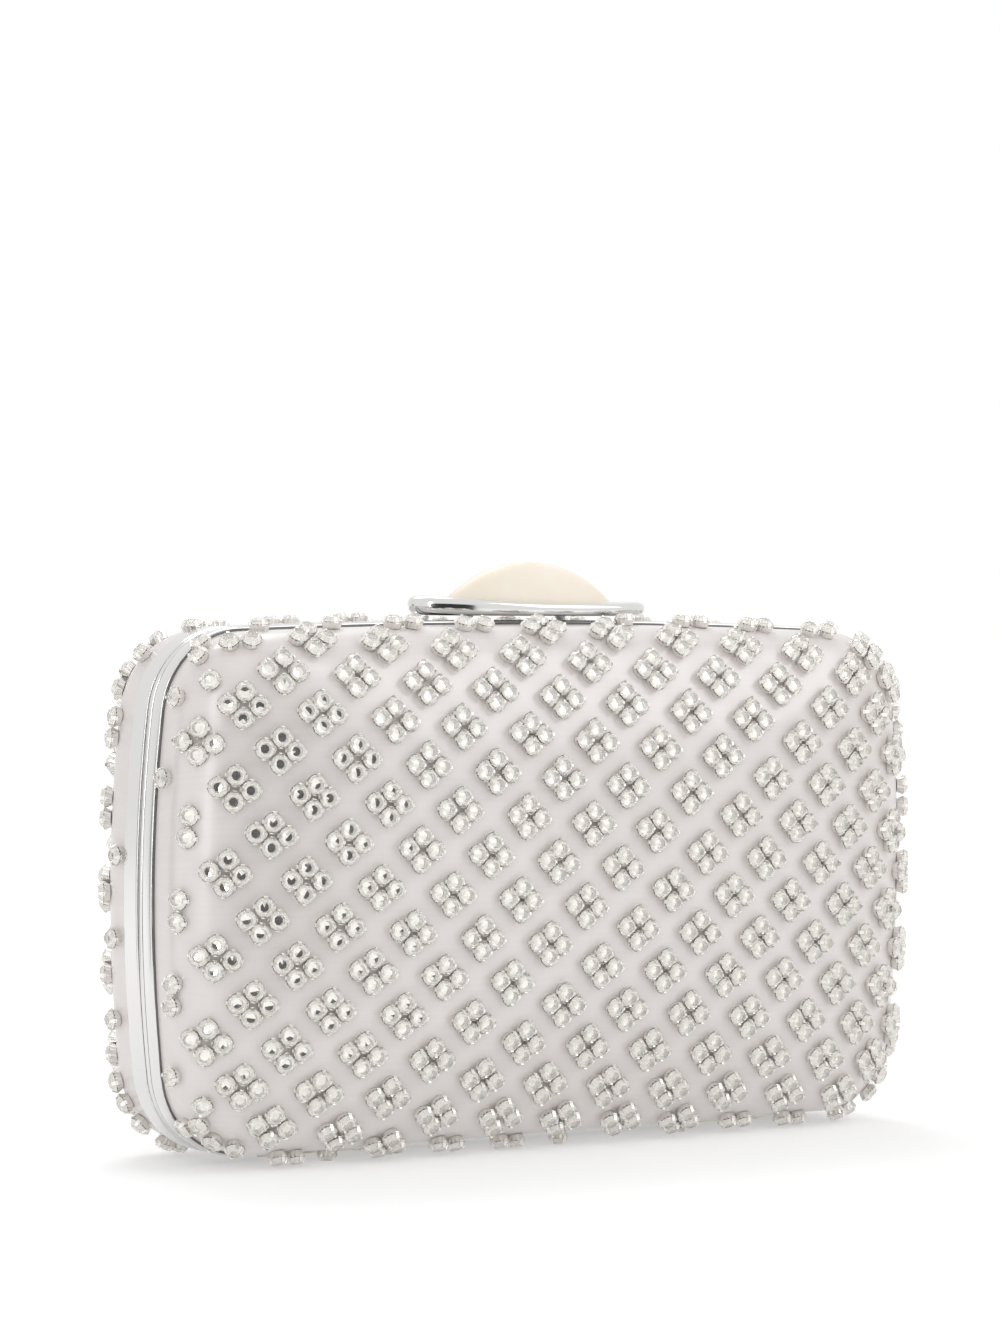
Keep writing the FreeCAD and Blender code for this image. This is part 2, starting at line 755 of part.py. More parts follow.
catch_rivet = rivet(
    "catch_rivet",
    "Sizes.catch_rivet_radius",
    CATCH_RIVET_LENGTH,
    "Sizes.catch_rivet_head",
    "Sizes.catch_rivet_head_height",
)
group("catch_rivets", copies(catch_rivet, [Placement(spot, Rotation()) for spot in CATCH_RIVET_SPOTS]))


# The halves and frames, drilled for the stems, the latch, the catch and the hinges


def stem_holes(name):
    """Holes that take the stem bushings."""
    return [
        cylinder(f"{name}{number}", "Sizes.bushing_radius", BUSHING_LENGTH + " + 2 * Sizes.bushing_inset",
                 spot + Vector(0, 0, BUSHING_LOW))
        for number, spot in enumerate(STEM_SPOTS)
    ]


node(front_satin, "front_satin")
node(front_shell, "front_shell")
node(front_lining, "front_lining")
front_frame_cuts = hinge_openings("front_frame", FRONT) + catch_rivet_holes("front_frame_catch_hole")
node(cut("front_frame_drilled", front_frame, front_frame_cuts), "front_frame")

node(cut("back_satin_drilled", back_satin, stem_holes("satin_stem_hole")), "back_satin")
shell_cuts = stem_holes("shell_stem_hole") + latch_rivet_holes("shell_rivet_hole")
node(cut("back_shell_drilled", back_shell, shell_cuts), "back_shell")
lining_cuts = stem_holes("lining_stem_hole") + latch_rivet_holes("lining_rivet_hole")
node(cut("back_lining_drilled", back_lining, lining_cuts), "back_lining")
back_frame_cuts = hinge_openings("back_frame", BACK) + stem_holes("frame_stem_hole")
node(cut("back_frame_drilled", back_frame, back_frame_cuts), "back_frame")


# The crystals and their claw cups


def cone(name, low, high, height, z):
    """A round taper standing on a height, its sizes bound to the sheet."""
    obj = doc.addObject("Part::Cone", name)
    obj.setExpression("Radius1", low)
    obj.setExpression("Radius2", high)
    obj.setExpression("Height", height)
    obj.Placement = shift(z=z)
    return obj


SEAT_Z = size("cup_height") - size("pavilion_depth")
pavilion = cone("pavilion", "Sizes.culet_radius", "Sizes.crystal_radius", "Sizes.pavilion_depth", SEAT_Z)
crown = cone("crown", "Sizes.crystal_radius", "Sizes.table_radius", "Sizes.crown_height", size("cup_height"))
crystal = fuse("crystal", [pavilion, crown])
cup_body = cylinder("cup_body", "Sizes.cup_radius", "Sizes.cup_height", Vector(0, 0, 0))
cup_seat = cone("cup_seat", "Sizes.culet_radius", "Sizes.crystal_radius", "Sizes.pavilion_depth", SEAT_Z)
cup = cut("cup", cup_body, [cup_seat])


def profile_table(half_length):
    """Points along the form from the crest to the frame: distance walked, distance out, depth."""
    steps = 360
    table = []
    walked = 0.0
    last = None
    for step in range(steps + 1):
        share, rise = dome_profile(90.0 * (1 - step / steps))
        point = (half_length * share, size("wall_depth") + size("dome_depth") * rise)
        if last is not None:
            walked += math.hypot(point[0] - last[0], point[1] - last[1])
        table.append((walked, point[0], point[1]))
        last = point
    table.append((walked + size("wall_depth"), half_length, 0.0))
    return table


def walk(table, distance):
    """Distance out from the middle and depth after walking a distance along the form."""
    for (start, out, depth), (end, next_out, next_depth) in zip(table, table[1:]):
        if distance <= end:
            part = (distance - start) / (end - start)
            return out + part * (next_out - out), depth + part * (next_depth - depth)
    return None


def cluster_spots():
    """The middle of every cluster on the unrolled satin, right and up from the middle of a half."""
    lean = math.radians(size("grid_lean"))
    reach = int(2 * size("half_width") / size("grid_width")) * 2 + 4
    spots = []
    for column in range(-reach, reach + 1):
        for level in range(-reach, reach + 1):
            if (column + level) % 2:
                continue
            slipped = (column - level) // 2 >= size("grid_slip_line")
            x = column * size("grid_width") / 2 + slipped * size("grid_slip_x")
            z = level * size("grid_height") / 2 + slipped * size("grid_slip_z")
            right = size("grid_shift_x") + x * math.cos(lean) - z * math.sin(lean)
            above = size("grid_shift_z") + x * math.sin(lean) + z * math.cos(lean)
            spots.append((right, above))
    return spots


def cluster_points(middle, normal):
    """The points of a cluster, on the flat that touches the satin at its middle and leaning with the grid.

    There are four of them, but only two along the frame where it is near, and one where it is nearest.
    """
    if -middle.y < size("single_depth"):
        return [middle]
    lean = math.radians(size("grid_lean"))
    lay = Rotation(Vector(0, FRONT, 0), normal)
    right = lay.multVec(Vector(math.cos(lean), 0, math.sin(lean)))
    up = lay.multVec(Vector(-math.sin(lean), 0, math.cos(lean)))
    if -middle.y < size("pair_depth"):
        along = min(right, up, key=lambda way: abs(way.y)) * size("pair_half_length")
        return [middle - along, middle + along]
    across = right * size("cluster_half_width")
    upright = up * size("cluster_half_height")
    return [middle - across, middle + across, middle - upright, middle + upright]


def settle(skin, point):
    """The nearest point of a skin and the direction straight out of it there."""
    found = skin.distToShape(Part.Vertex(point))[1][0][0]
    for face in skin.Faces:
        if face.distToShape(Part.Vertex(found))[0] < 1e-6:
            u, v = face.Surface.parameter(found)
            normal = face.normalAt(u, v)
            return found, normal if normal.dot(found - Vector(0, 0, MIDDLE_Z)) > 0 else -normal
    return None


def under_button(spot):
    """True where a cup would stand under the button's ring."""
    reach_x = size("ring_half_length") + size("cup_radius") + size("cup_clearance")
    reach_y = size("ring_half_width") + size("cup_radius") + size("cup_clearance")
    beside = (spot.x - size("clasp_shift")) / reach_x
    before = spot.y / reach_y
    return spot.z > TOP_Z - STAND and beside ** 2 + before ** 2 < 1


def cluster_middle(skin, across, upright, right, above):
    """A cluster's middle on the satin and the direction straight out there, or nothing past the corners."""
    out = walk(across, abs(right))
    rise = walk(upright, abs(above))
    if out is None or rise is None or max(out[1], rise[1]) < size("wall_depth"):
        return None
    depth = min(out[1], rise[1])
    return settle(skin, Vector(math.copysign(out[0], right), -depth, MIDDLE_Z + math.copysign(rise[0], above)))


def crystal_places():
    """Where the crystals of the front half stand on its satin, clear of the frame and of each other."""
    skin = Part.makeCompound(pillow(0.0, FRONT, 0.0).Faces)
    across = profile_table(size("half_width"))
    upright = profile_table(size("body_height") / 2)
    nearest = FRAME_EDGE + size("cup_radius") + size("cup_clearance")
    apart = 2 * size("cup_radius")
    places = []
    for right, above in cluster_spots():
        middle = cluster_middle(skin, across, upright, right, above)
        if middle is None:
            continue
        for point in cluster_points(*middle):
            spot, normal = settle(skin, point)
            lowest = spot.z + normal.z * STAND - size("table_radius") * math.sqrt(max(0.0, 1 - normal.z ** 2))
            if -spot.y < nearest or under_button(spot) or lowest < -1e-4:
                continue
            if all((spot - other).Length > apart for other, _ in places):
                places.append((spot, normal))
    return places


def set_crystals(name, places):
    """Cups and crystals of one half, with the crystals it stands on in a piece of their own."""
    standing = [place for place, normal in places if normal.z < -1 + 1e-6]
    raised = [place for place, normal in places if normal.z >= -1 + 1e-6]
    group(name + "_crystals", copies(crystal, raised))
    group(name + "_base_crystals", copies(crystal, standing))
    group(name + "_crystal_cups", copies(cup, raised + standing))


HALF_TURN = Placement(Vector(0, 0, 0), Rotation(UP, 180))
front_places = [(Placement(spot, Rotation(UP, normal)), normal) for spot, normal in crystal_places()]
back_places = [(HALF_TURN.multiply(place), normal) for place, normal in front_places]
set_crystals("front", front_places)
set_crystals("back", back_places)


# Checking and writing the pieces

doc.recompute()
for obj in doc.Objects:
    if "Invalid" in obj.State or "Error" in obj.State:
        raise RuntimeError(f"{obj.Label} did not build: {obj.State}")
for piece in NODES:
    if piece.Shape.isNull() or not piece.Shape.isValid() or not piece.Shape.Solids:
        raise RuntimeError(f"{piece.Label} has no sound solid")

os.makedirs("parts", exist_ok=True)
for piece in NODES:
    piece.Shape.exportStep(os.path.join("parts", piece.Label + ".step"))
    print(piece.Label, len(piece.Shape.Solids), round(piece.Shape.Volume, 3))
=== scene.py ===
import math

import bpy
import numpy as np
from mathutils import Matrix, Vector


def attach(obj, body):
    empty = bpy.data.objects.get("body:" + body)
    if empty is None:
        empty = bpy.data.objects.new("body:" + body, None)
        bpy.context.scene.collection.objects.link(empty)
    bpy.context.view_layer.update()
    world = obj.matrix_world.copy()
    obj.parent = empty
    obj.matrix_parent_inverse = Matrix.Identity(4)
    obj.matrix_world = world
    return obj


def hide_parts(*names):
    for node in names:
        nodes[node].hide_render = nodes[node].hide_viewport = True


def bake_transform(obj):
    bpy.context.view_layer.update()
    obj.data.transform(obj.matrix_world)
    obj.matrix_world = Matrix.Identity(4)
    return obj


# A crystal-set evening case: two domed halves that meet at the plane y = 0, the front half towards -Y.
# It stands on its long base at z = 0, with hinges underneath and a jewelled push button on the top.

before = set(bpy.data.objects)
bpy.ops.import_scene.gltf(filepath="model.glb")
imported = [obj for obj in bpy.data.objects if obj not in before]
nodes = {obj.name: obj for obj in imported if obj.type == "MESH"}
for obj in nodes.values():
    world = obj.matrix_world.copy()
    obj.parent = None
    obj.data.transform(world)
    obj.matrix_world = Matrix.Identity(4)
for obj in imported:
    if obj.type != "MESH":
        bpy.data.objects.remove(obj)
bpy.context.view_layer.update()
MM = 0.001


# Moulded shells
# Each half is stiffened by a domed shell of white moulded plastic that every other piece is fixed to.
# It is pressed into the channel of its frame, between the satin and the lining.


def finish(name, sockets):
    """A material with one Principled shader, whose constants are set straight on its sockets."""
    material = bpy.data.materials.new(name)
    material.use_nodes = True
    shader = material.node_tree.nodes["Principled BSDF"]
    for socket, value in sockets.items():
        shader.inputs[socket].default_value = value
    return material


def add(material, kind, inputs, **settings):
    """One more node in a material, with its settings made and its inputs set or linked."""
    node = material.node_tree.nodes.new(kind)
    for key, value in settings.items():
        setattr(node, key, value)
    for key, value in inputs.items():
        if isinstance(value, bpy.types.NodeSocket):
            material.node_tree.links.new(value, node.inputs[key])
        else:
            node.inputs[key].default_value = value
    return node


def plug(material, socket, output):
    """Links a node's output to a socket of the material's own shader."""
    shader = material.node_tree.nodes["Principled BSDF"]
    material.node_tree.links.new(output, shader.inputs[socket])


def ramp(material, value, stops):
    """Colours or greys spread along a value, given as (place, colour) stops."""
    node = add(material, "ShaderNodeValToRGB", {"Fac": value})
    band = node.color_ramp
    while len(band.elements) < len(stops):
        band.elements.new(1.0)
    for element, (place, colour) in zip(band.elements, stops):
        element.position = place
        element.color = (*colour, 1.0) if len(colour) == 3 else colour
    return node.outputs["Color"]


def grey(level):
    """A neutral colour of one level."""
    return (level, level, level)


def dress(material, *names):
    """Gives solid pieces that show as they are their finish."""
    for name in names:
        for slot in nodes[name].material_slots:
            slot.material = material


moulded_plastic = finish("moulded_plastic", {"Roughness": 0.55, "Specular IOR Level": 0.4})
place = add(moulded_plastic, "ShaderNodeTexCoord", {}).outputs["Object"]
flow = add(moulded_plastic, "ShaderNodeTexNoise", {"Vector": place, "Scale": 90.0, "Detail": 4.0})
plug(moulded_plastic, "Base Color", ramp(moulded_plastic, flow.outputs["Fac"], [
    (0.3, (0.66, 0.65, 0.63)),
    (0.7, (0.74, 0.73, 0.71)),
]))
grain = add(moulded_plastic, "ShaderNodeTexNoise", {"Vector": place, "Scale": 2500.0})
mould_skin = add(moulded_plastic, "ShaderNodeBump", {
    "Height": grain.outputs["Fac"], "Strength": 0.15, "Distance": 0.05 * MM,
})
plug(moulded_plastic, "Normal", mould_skin.outputs["Normal"])
dress(moulded_plastic, "front_shell", "back_shell")


# Satin covers
# Silver-grey satin, stretched in one piece over each shell and glued down, its edge tucked under the frame.
# Its threads run level across the front and on round the sides.

FRONT = -1
BACK = 1
halves = ((FRONT, "front", "front_half"), (BACK, "back", "back_half"))
half_width = 93 * MM
base_z = 2.5 * MM
top_z = 110.5 * MM
middle_z = (base_z + top_z) / 2
side_radius = 320 * MM
top_radius = 1900 * MM
corner_radius = 18 * MM
wall_depth = 10.5 * MM
dome_depth = 19.5 * MM
dome_power = 2.4
satin_thickness = 0.45 * MM
tuck_depth = 5.15 * MM
rim_step = 1.6 * MM
wall_rows = 8
dome_rows = 56
row_bias = 1.15
crest_share = 0.002


def arc(centre, radius, start, end, count):
    """Points on an arc about a centre, at even angles, and the direction straight out at each."""
    turn = np.linspace(start, end, count)
    out = np.stack([np.cos(turn), np.sin(turn)], axis=1)
    return centre + radius * out, out


def heading(vector):
    """The angle of a flat vector."""
    return math.atan2(vector[1], vector[0])


def rim(base_breaks=()):
    """The outline where the halves meet, as points (x, z) and the outward direction at each.

    The right half runs from the middle of the flat base round a corner, up the bowed side, round the upper
    corner and along the bowed top. Each stretch is an arc that meets its neighbours without a kink, and the
    mirror image of them all closes the loop.
    """
    side_centre = np.array([half_width - side_radius, middle_z])
    top_centre = np.array([0.0, top_z - top_radius])
    low_z = base_z + corner_radius
    low_x = side_centre[0] + math.sqrt((side_radius - corner_radius) ** 2 - (low_z - middle_z) ** 2)
    low_centre = np.array([low_x, low_z])
    apart = top_centre - side_centre
    gap = np.hypot(*apart)
    along = (gap ** 2 + (side_radius - corner_radius) ** 2 - (top_radius - corner_radius) ** 2) / (2 * gap)
    across = math.sqrt((side_radius - corner_radius) ** 2 - along ** 2)
    high_centre = side_centre + (along * apart + across * np.array([-apart[1], apart[0]])) / gap
    side_low = heading(low_centre - side_centre)
    side_high = heading(high_centre - side_centre)
    top_end = heading(high_centre - top_centre)
    base_x = np.linspace(0.0, low_x, int(low_x / rim_step))
    base_x = np.sort(np.concatenate([base_x, base_breaks]))
    base_points = np.stack([base_x, np.full(len(base_x), base_z)], axis=1)
    stretches = [(base_points, np.tile([0.0, -1.0], (len(base_x), 1)))]
    for centre, radius, start, end in (
        (low_centre, corner_radius, -math.pi / 2, side_low),
        (side_centre, side_radius, side_low, side_high),
        (high_centre, corner_radius, side_high, top_end),
        (top_centre, top_radius, top_end, math.pi / 2),
    ):
        count = max(12, int(radius * abs(end - start) / rim_step))
        points, out = arc(centre, radius, start, end, count + 1)
        stretches.append((points[1:], out[1:]))
    points = np.concatenate([stretch[0] for stretch in stretches])
    out = np.concatenate([stretch[1] for stretch in stretches])
    mirror = np.array([-1.0, 1.0])
    points = np.concatenate([points, points[-2:0:-1] * mirror])
    out = np.concatenate([out, out[-2:0:-1] * mirror])
    return points, out


def new_piece(name, points, corners, sizes, material, inside=None):
    """An object whose faces list their corners one after another, turned to face away from a point inside.

    The faces are turned round where the cones from the inside point to them add up to a negative volume.
    """
    mesh = bpy.data.meshes.new(name)
    mesh.vertices.add(len(points))
    mesh.vertices.foreach_set("co", np.asarray(points, np.float32).ravel())
    mesh.loops.add(len(corners))
    mesh.loops.foreach_set("vertex_index", np.asarray(corners, np.int32))
    mesh.polygons.add(len(sizes))
    mesh.polygons.foreach_set("loop_start", np.asarray(np.cumsum(sizes) - sizes, np.int32))
    mesh.update(calc_edges=True)
    mesh.validate()
    if inside is not None:
        count = len(mesh.polygons)
        normals = np.empty(count * 3)
        centres = np.empty(count * 3)
        areas = np.empty(count)
        mesh.polygons.foreach_get("normal", normals)
        mesh.polygons.foreach_get("center", centres)
        mesh.polygons.foreach_get("area", areas)
        reach = centres.reshape(-1, 3) - np.asarray(inside)
        if (areas * (reach * normals.reshape(-1, 3)).sum(axis=1)).sum() < 0:
            mesh.flip_normals()
    mesh.materials.append(material)
    mesh.shade_smooth()
    piece = bpy.data.objects.new(name, mesh)
    bpy.context.scene.collection.objects.link(piece)
    return piece


def grid_faces(rows, columns, close_rows=False):
    """Four-sided faces between neighbouring rows of closed rings, with the last row joined to the first."""
    row = np.arange(rows if close_rows else rows - 1)[:, None]
    column = np.arange(columns)[None, :]
    next_row = (row + 1) % rows
    next_column = (column + 1) % columns
    quads = np.stack([
        row * columns + column,
        row * columns + next_column,
        next_row * columns + next_column,
        next_row * columns + column,
    ], axis=-1).reshape(-1, 4)
    return quads.ravel(), np.full(len(quads), 4)


def pillow(inset, start):
    """One half's domed form from a starting depth to its crest, as rings of points, and its flat pattern.

    A straight wall leads to a dome whose rings shrink by a power of the cosine and rise by the same power of
    the sine. In the flat pattern each point lies in its own direction from the middle, as far out as the way
    walked to it over the dome.
    """
    points, out = rim()
    flat = points - inset * out - np.array([0.0, middle_z])
    wall = np.linspace(start, wall_depth, wall_rows)[:-1]
    turn = np.radians(90.0 * np.linspace(0.0, 1.0, dome_rows) ** row_bias)
    power = 2 / dome_power
    share = np.concatenate([np.ones(len(wall)), np.maximum(np.cos(turn), 0.0) ** power])
    rise = wall_depth + (dome_depth - inset) * np.sin(turn) ** power
    depth = np.concatenate([wall, rise])
    share[-1] = crest_share
    rings = share[:, None, None] * flat[None, :, :]
    reach = np.linalg.norm(flat, axis=1)
    steps = np.hypot(np.diff(share)[:, None] * reach[None, :], np.diff(depth)[:, None])
    walked = np.zeros((len(share), len(reach)))
    walked[:-1] = np.cumsum(steps[::-1], axis=0)[::-1]
    pattern = flat[None] / reach[None, :, None] * walked[..., None]
    return rings, depth, pattern


def lay_pattern(piece, pattern):
    """Gives each point of a piece its place on the flat cloth, in metres, as the piece's own UV map."""
    mesh = piece.data
    corner = np.empty(len(mesh.loops), np.int32)
    mesh.loops.foreach_get("vertex_index", corner)
    layer = mesh.uv_layers.new(name="cloth")
    layer.uv.foreach_set("vector", np.asarray(pattern, np.float32)[corner].ravel())


def cloth_shell(name, half, inset, thickness, material):
    """A stretched cover: the domed form at an inset, closed at its crest, thickened inwards."""
    rings, depth, pattern = pillow(inset, tuck_depth)
    rows, columns = rings.shape[:2]
    y = np.broadcast_to(half * depth[:, None], (rows, columns))
    points = np.stack([rings[..., 0], y, rings[..., 1] + middle_z], axis=-1).reshape(-1, 3)
    crest = np.array([[0.0, half * depth[-1], middle_z]])
    corners, sizes = grid_faces(rows, columns)
    last = (rows - 1) * columns + np.arange(columns)
    fan = np.stack([last, np.roll(last, -1), np.full(columns, len(points))], axis=1)
    corners = np.concatenate([corners, fan.ravel()])
    sizes = np.concatenate([sizes, np.full(columns, 3)])
    piece = new_piece(name, np.concatenate([points, crest]), corners, sizes, material, (0, 0, middle_z))
    lay_pattern(piece, np.concatenate([pattern.reshape(-1, 2), [[0.0, 0.0]]]))
    wall = piece.modifiers.new("thickness", "SOLIDIFY")
    wall.thickness = thickness
    wall.offset = -1.0
    return piece


satin = finish("silver_satin", {
    "Roughness": 0.25,
    "IOR": 1.66,
    "Specular IOR Level": 0.85,
    "Anisotropic": 0.5,
    "Sheen Weight": 0.12,
    "Sheen Roughness": 0.35,
    "Sheen Tint": (0.95, 0.95, 1.0, 1.0),
})
weave = add(satin, "ShaderNodeUVMap", {}, uv_map="cloth").outputs["UV"]
mottle = add(satin, "ShaderNodeTexNoise", {"Vector": weave, "Scale": 26.0, "Detail": 3.0})
tone = ramp(satin, mottle.outputs["Fac"], [
    (0.30, (0.668, 0.624, 0.606)),
    (0.52, (0.678, 0.635, 0.617)),
    (0.72, (0.672, 0.638, 0.626)),
])
along_thread = add(satin, "ShaderNodeMapping", {"Vector": weave, "Scale": (45.0, 1400.0, 1.0)})
slub = add(satin, "ShaderNodeTexNoise", {
    "Vector": along_thread.outputs["Vector"], "Scale": 1.0, "Detail": 3.0,
})
streak = ramp(satin, slub.outputs["Fac"], [(0.25, grey(0.975)), (0.75, grey(1.02))])
streaked = add(satin, "ShaderNodeMix", {"Factor": 1.0, "A": tone, "B": streak},
               data_type="RGBA", blend_type="MULTIPLY")
plug(satin, "Base Color", streaked.outputs["Result"])
thread_place = add(satin, "ShaderNodeMapping", {"Vector": weave, "Scale": (160.0, 5200.0, 1.0)})
thread = add(satin, "ShaderNodeTexNoise", {"Vector": thread_place.outputs["Vector"], "Scale": 1.0})
thread_relief = add(satin, "ShaderNodeBump", {
    "Height": thread.outputs["Fac"], "Strength": 0.15, "Distance": 0.05 * MM,
})
plug(satin, "Normal", thread_relief.outputs["Normal"])
level_threads = add(satin, "ShaderNodeTangent", {}, direction_type="UV_MAP", uv_map="cloth")
plug(satin, "Tangent", level_threads.outputs["Tangent"])

for half, side, body in halves:
    cover = cloth_shell(side + "_satin_cover", half, 0.0, satin_thickness, satin)
    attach(cover, body)
    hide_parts(side + "_satin")


# Linings
# A soft pale grey microfibre, glued inside each shell and held along its edge by the frame's inner lip.
# It shows when the case is open.

lining_inset = 2.1 * MM
lining_thickness = 0.55 * MM

microfibre = finish("lining_microfibre", {
    "Roughness": 0.9,
    "Specular IOR Level": 0.2,
    "Sheen Weight": 0.5,
    "Sheen Roughness": 0.5,
})
pile_place = add(microfibre, "ShaderNodeUVMap", {}, uv_map="cloth").outputs["UV"]
brushed = add(microfibre, "ShaderNodeTexNoise", {"Vector": pile_place, "Scale": 45.0, "Detail": 5.0})
plug(microfibre, "Base Color", ramp(microfibre, brushed.outputs["Fac"], [
    (0.30, (0.452, 0.437, 0.425)),
    (0.70, (0.480, 0.465, 0.452)),
]))
pile = add(microfibre, "ShaderNodeTexNoise", {"Vector": pile_place, "Scale": 2600.0, "Detail": 2.0})
pile_relief = add(microfibre, "ShaderNodeBump", {
    "Height": pile.outputs["Fac"], "Strength": 0.5, "Distance": 0.1 * MM,
})
plug(microfibre, "Normal", pile_relief.outputs["Normal"])

for half, side, body in halves:
    lining = cloth_shell(side + "_lining_cover", half, lining_inset, lining_thickness, microfibre)
    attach(lining, body)
    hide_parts(side + "_lining")


# Frames
# Polished chromed channels, bent round each half, that grip the edges of satin, shell and lining.
# The back one is a plain band. The front one has a round bead at the split, then a groove and a flat band.

frame_proud = 0.9 * MM
frame_edge = 5.65 * MM
half_gap = 0.15 * MM
web_depth = 1.35 * MM
lip_inner = 3.5 * MM
lip_outer = 2.75 * MM
bead_radius = 0.72 * MM
groove_start = half_gap + 2 * bead_radius
groove_end = groove_start + 0.45 * MM
groove_floor = 0.1 * MM
band_crown = 0.05 * MM
band_round = 0.3 * MM
edge_round = 0.45 * MM
under_band = 0.05 * MM
# Stretches of the front frame's profile this far below the band count as groove and get painted shade.
groove_shade_depth = 0.2 * MM
knuckle_step = 0.02 * MM
hinge_spread = 52 * MM
hinge_half_length = 13.3 * MM
hinge_z = 1.05 * MM
hinge_room = 1.15 * MM


def fillet(centre, radius, start, end, count=5):
    """Points of a small arc in a profile, from one angle to another in degrees."""
    return arc(np.array(centre), radius, math.radians(start), math.radians(end), count)[0]


def channel_profile():
    """The front frame's section as points (out from the outline, depth from the split), once round.

    It climbs the meeting face, goes over the half-round bead, through the groove, over the crowned band, and
    returns inside the slot that holds the layers and round the inner lip. The groove and the band's cut edge
    are marked for painted shade: a dark metal stands in for the shade and dark reflection in these narrow
    places.
    """
    band_side = frame_proud - band_crown
    bead_middle = (frame_proud - bead_radius, half_gap + bead_radius)
    profile = np.concatenate([
        [(-lip_inner + band_round, half_gap)],
        fillet(bead_middle, bead_radius, -90, 90, 13),
        [(groove_floor, groove_start), (groove_floor, groove_end)],
        fillet((band_side - band_round, groove_end + band_round), band_round, -90, 0),
        [(frame_proud, (groove_end + frame_edge) / 2)],
        fillet((band_side - edge_round, frame_edge - edge_round), edge_round, 0, 90, 9),
        [(under_band, frame_edge), (under_band, web_depth)],
        [(-lip_outer, web_depth), (-lip_outer, frame_edge)],
        fillet((-lip_inner + band_round, frame_edge - band_round), band_round, 90, 180),
        fillet((-lip_inner + band_round, half_gap + band_round), band_round, 180, 270)[:-1],
    ])
    after = np.roll(profile, -1, axis=0)
    # The groove and the band's cut edge are picked out for a dark metal, painted shade and dark reflection.
    outside = profile[:, 0] > under_band
    low = np.maximum(profile[:, 0], after[:, 0]) < band_side - groove_shade_depth
    from_groove = np.abs((profile[:, 1] + after[:, 1]) / 2 - (groove_start + groove_end) / 2)
    in_groove = low & (from_groove < groove_end - groove_start)
    at_cut = np.minimum(profile[:, 1], after[:, 1]) > frame_edge - 0.02 * MM
    return profile, outside & (in_groove | at_cut)


def crease(piece, angle):
    """Marks as sharp every edge where two faces turn by more than an angle in degrees."""
    mesh = piece.data
    face_normals = np.empty(len(mesh.polygons) * 3)
    mesh.polygons.foreach_get("normal", face_normals)
    face_normals = face_normals.reshape(-1, 3)
    sizes = np.empty(len(mesh.polygons), np.int32)
    mesh.polygons.foreach_get("loop_total", sizes)
    edge = np.empty(len(mesh.loops), np.int32)
    mesh.loops.foreach_get("edge_index", edge)
    face = np.repeat(np.arange(len(sizes)), sizes)
    order = np.argsort(edge, kind="stable")
    edge = edge[order]
    face = face[order]
    paired = np.flatnonzero(edge[1:] == edge[:-1])
    turn = (face_normals[face[paired]] * face_normals[face[paired + 1]]).sum(axis=1)
    sharp = np.zeros(len(mesh.edges), bool)
    sharp[edge[paired]] = turn < math.cos(math.radians(angle))
    mark = mesh.attributes.new("sharp_edge", "BOOLEAN", "EDGE")
    mark.data.foreach_set("value", sharp)


def channel_frame(name, half, profile, shaded_stretches, material, shade_material):
    """A profile carried round the outline, each point moved straight out by its offset.

    Where it comes within the hinge knuckles' room, it is moved out to the edge of that room. The stretches
    of the profile that are marked for painted shade get the dark material.
    """
    ends = hinge_spread + hinge_half_length * np.array([-1.0, 1.0])
    points, out = rim(np.concatenate([ends, ends + knuckle_step * np.array([-1.0, 1.0])]))
    flat = points[None] + profile[:, None, 0:1] * out[None]
    y = np.broadcast_to(half * profile[:, 1:2], flat.shape[:2])
    ring = np.stack([flat[..., 0], y, flat[..., 1]], axis=-1)
    rise = ring[..., 2] - hinge_z
    far = np.hypot(ring[..., 1], rise)
    from_hinge = np.abs(np.abs(ring[..., 0]) - hinge_spread)
    near = (far < hinge_room) & (from_hinge < hinge_half_length + knuckle_step / 2)
    push = np.where(near, hinge_room / np.maximum(far, 1e-9), 1.0)
    ring[..., 1] *= push
    ring[..., 2] = hinge_z + rise * push
    corners, sizes = grid_faces(*ring.shape[:2], close_rows=True)
    piece = new_piece(name, ring.reshape(-1, 3), corners, sizes, material, (0, 0, middle_z))
    crease(piece, 40)
    piece.data.materials.append(shade_material)
    shaded_faces = np.repeat(shaded_stretches.astype(np.int32), ring.shape[1])
    piece.data.polygons.foreach_set("material_index", shaded_faces)
    return piece


def metal(name, colour, roughness, wear):
    """A plated metal with faint rubbing marks: its roughness drifts, and fine scratches run through it."""
    material = finish(name, {"Base Color": (*colour, 1.0), "Metallic": 1.0})
    spot = add(material, "ShaderNodeTexCoord", {}).outputs["Object"]
    drift = add(material, "ShaderNodeTexNoise", {"Vector": spot, "Scale": 120.0, "Detail": 5.0})
    plug(material, "Roughness", ramp(material, drift.outputs["Fac"], [
        (0.3, grey(roughness)),
        (0.75, grey(roughness + wear)),
    ]))
    stretched = add(material, "ShaderNodeMapping", {"Vector": spot, "Scale": (300.0, 2600.0, 900.0)})
    scratch = add(material, "ShaderNodeTexNoise", {"Vector": stretched.outputs["Vector"], "Scale": 1.0})
    relief = add(material, "ShaderNodeBump", {
        "Height": scratch.outputs["Fac"], "Strength": 0.06, "Distance": 0.01 * MM,
    })
    plug(material, "Normal", relief.outputs["Normal"])
    return material


chrome = metal("polished_chrome", (0.71, 0.705, 0.695), 0.09, 0.06)
# A dark grey metal that paints shade and dark reflection into the front frame's groove and the band's cut
# edge.
painted_shade_metal = metal("painted_shade_metal", (0.24, 0.24, 0.24), 0.45, 0.1)
front_channel = channel_frame("front_channel_frame", FRONT, *channel_profile(), chrome, painted_shade_metal)
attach(front_channel, "front_half")
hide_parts("front_frame")
dress(chrome, "back_frame")


# Hinges
# Two hinges of nickel-plated brass under the base, their leaves riveted up into the frames.
# A steel pin runs through the knuckles of each.

